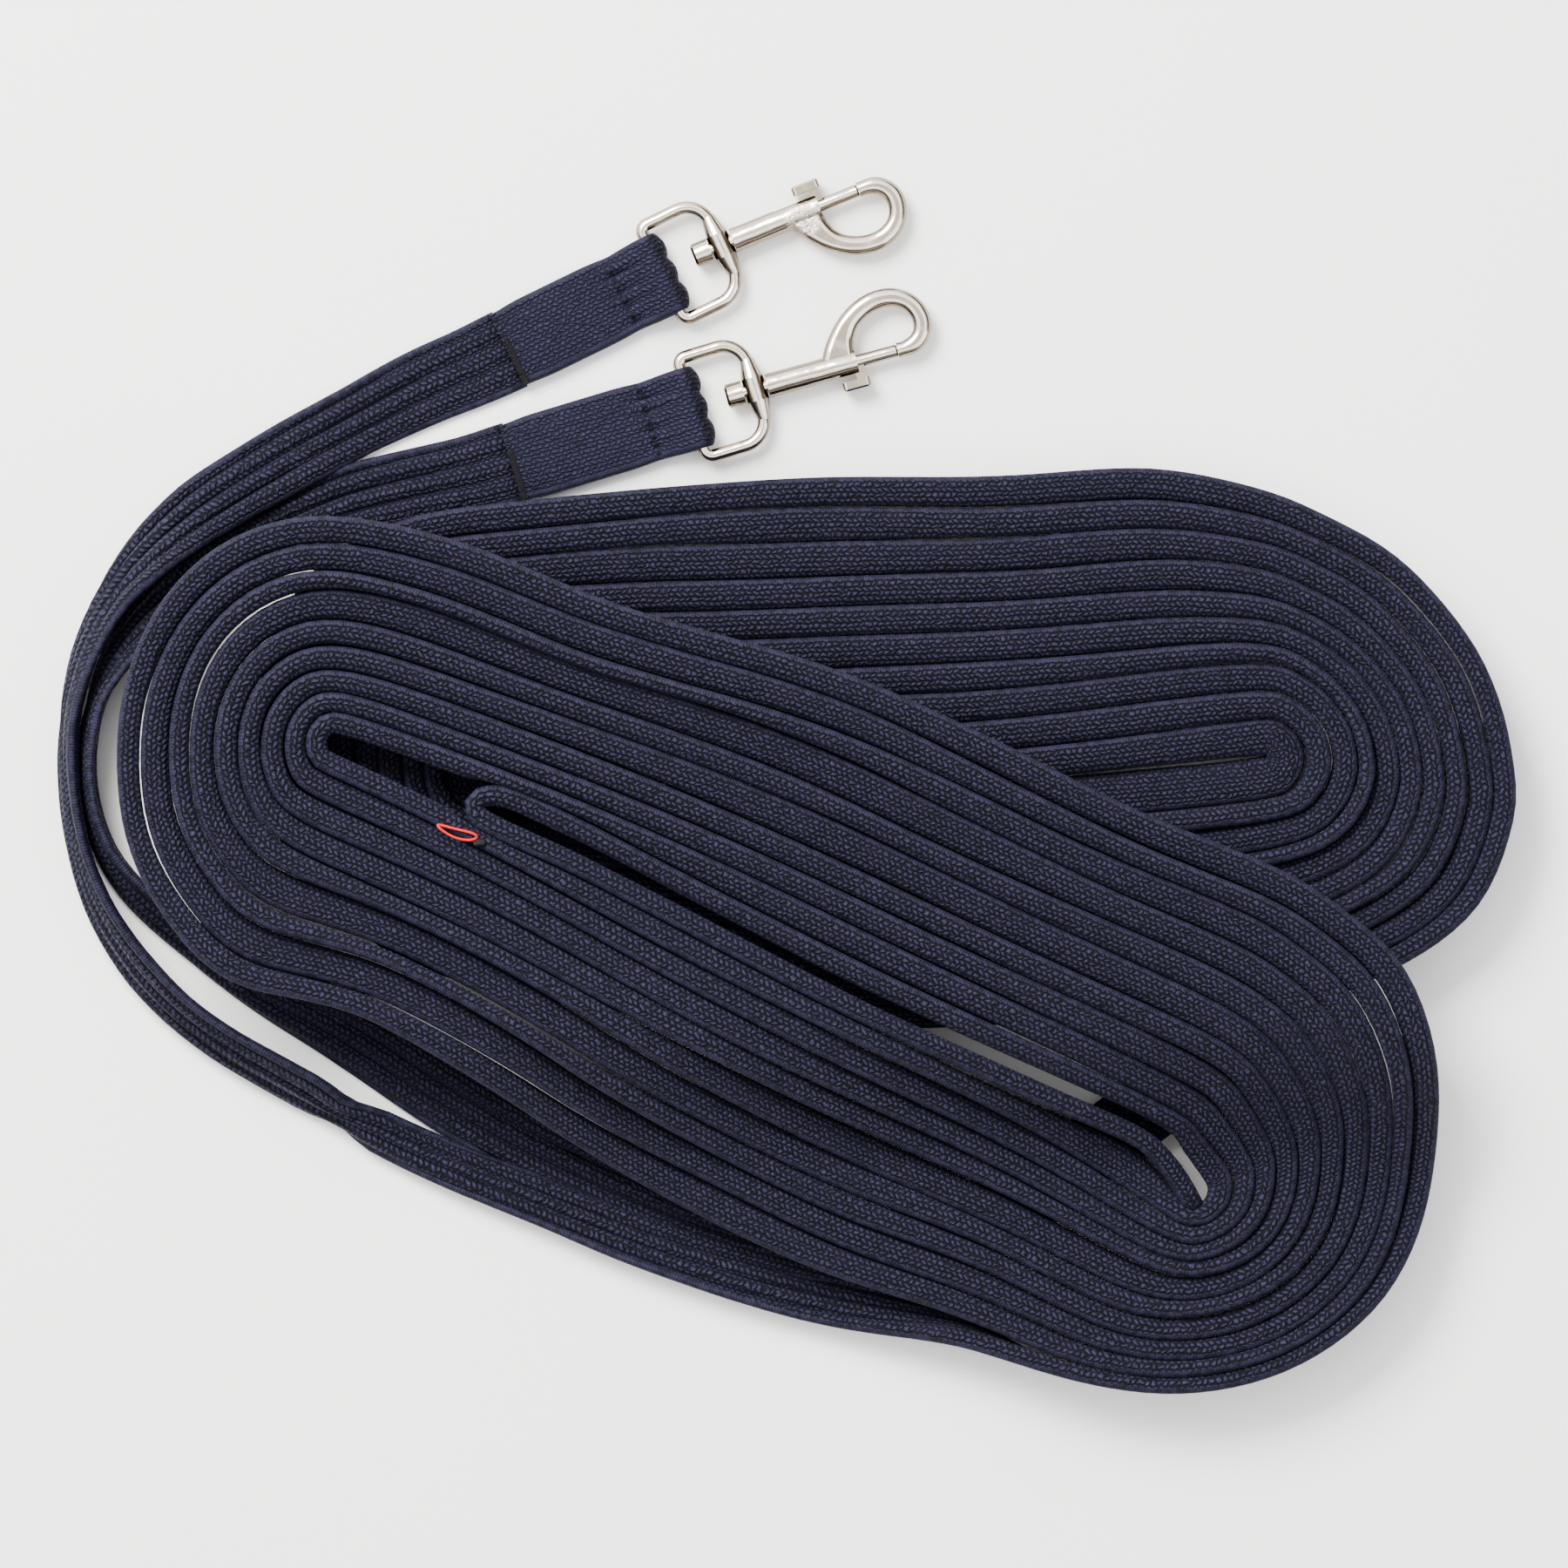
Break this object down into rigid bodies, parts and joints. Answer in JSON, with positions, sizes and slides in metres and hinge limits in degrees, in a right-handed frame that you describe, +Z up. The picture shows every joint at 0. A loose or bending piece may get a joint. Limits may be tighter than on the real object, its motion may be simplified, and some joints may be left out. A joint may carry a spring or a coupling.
{
  "type": "webbing lead rein pair",
  "caption": "Pair of long soft webbing lead reins, each wound in an oblong coil, with a sewn end that holds a swivel bolt snap with a sprung gate.",
  "frame": {"origin": "centre of the footprint, on the surface that the coils lie on", "axes": "+Z up, out of the surface; +X along the long side of the laid-out pair, from the free legs' bend towards the back coil's end; +Y from the front coil towards the snaps"},
  "size_m": [0.4324, 0.361, 0.0435],
  "materials": {
    "web_navy": "soft woven webbing",
    "thread_navy": "sewing thread",
    "thread_red": "sewing thread",
    "thread_dark": "melted thread end",
    "nickel_plate": "bright nickel plate on cast metal",
    "spring_steel": "bare wire"
  },
  "bodies": {
    "root": {"rein_a_bar_tack": "thread_navy", "rein_a_box_stitch": "thread_navy", "rein_a_clip_end": "web_navy", "rein_a_coil": "web_navy", "rein_a_leg": "web_navy", "rein_a_loop_stitch": "thread_navy", "rein_b_bar_tack": "thread_navy", "rein_b_box_stitch": "thread_navy", "rein_b_clip_end": "web_navy", "rein_b_coil": "web_navy", "rein_b_leg": "web_navy", "rein_b_loop_stitch": "thread_navy", "tag_knot": "thread_dark", "tag_loop": "thread_red"},
    "eye_a": {"swivel_eye_a": "nickel_plate"},
    "snap_a": {"swivel_stem_a": "nickel_plate", "snap_body_a": "nickel_plate", "plunger_spring_a": "spring_steel"},
    "gate_a": {"plunger_a": "nickel_plate", "thumb_stud_a": "nickel_plate"},
    "eye_b": {"swivel_eye_b": "nickel_plate"},
    "snap_b": {"swivel_stem_b": "nickel_plate", "snap_body_b": "nickel_plate", "plunger_spring_b": "spring_steel"},
    "gate_b": {"plunger_b": "nickel_plate", "thumb_stud_b": "nickel_plate"}
  },
  "joints": [
    {"name": "eye_pivot_a", "type": "hinge", "parent": "root", "child": "eye_a", "pos_m": [-0.03622, 0.15161, 0.0046], "axis": [0.4384, -0.8988, 0], "range_deg": [0, 80]},
    {"name": "snap_swivel_a", "type": "hinge", "parent": "eye_a", "child": "snap_a", "pos_m": [-0.0186, 0.1602, 0.0046], "axis": [0.9272, 0.3746, 0], "continuous": true},
    {"name": "gate_slide_a", "type": "slide", "parent": "snap_a", "child": "gate_a", "axis": [-0.9272, -0.3746, 0], "range_m": [0, 0.011], "stiffness_N_per_m": 300, "springref_m": -0.006, "deforming": ["plunger_spring_a"]},
    {"name": "eye_pivot_b", "type": "hinge", "parent": "root", "child": "eye_b", "pos_m": [-0.02726, 0.11174, 0.0046], "axis": [0.289, -0.9573, 0], "range_deg": [0, 80]},
    {"name": "snap_swivel_b", "type": "hinge", "parent": "eye_b", "child": "snap_b", "pos_m": [-0.0085, 0.1174, 0.0046], "axis": [0.9646, 0.2639, 0], "continuous": true},
    {"name": "gate_slide_b", "type": "slide", "parent": "snap_b", "child": "gate_b", "axis": [-0.9646, -0.2639, 0], "range_m": [0, 0.011], "stiffness_N_per_m": 300, "springref_m": -0.006, "deforming": ["plunger_spring_b"]}
  ]
}
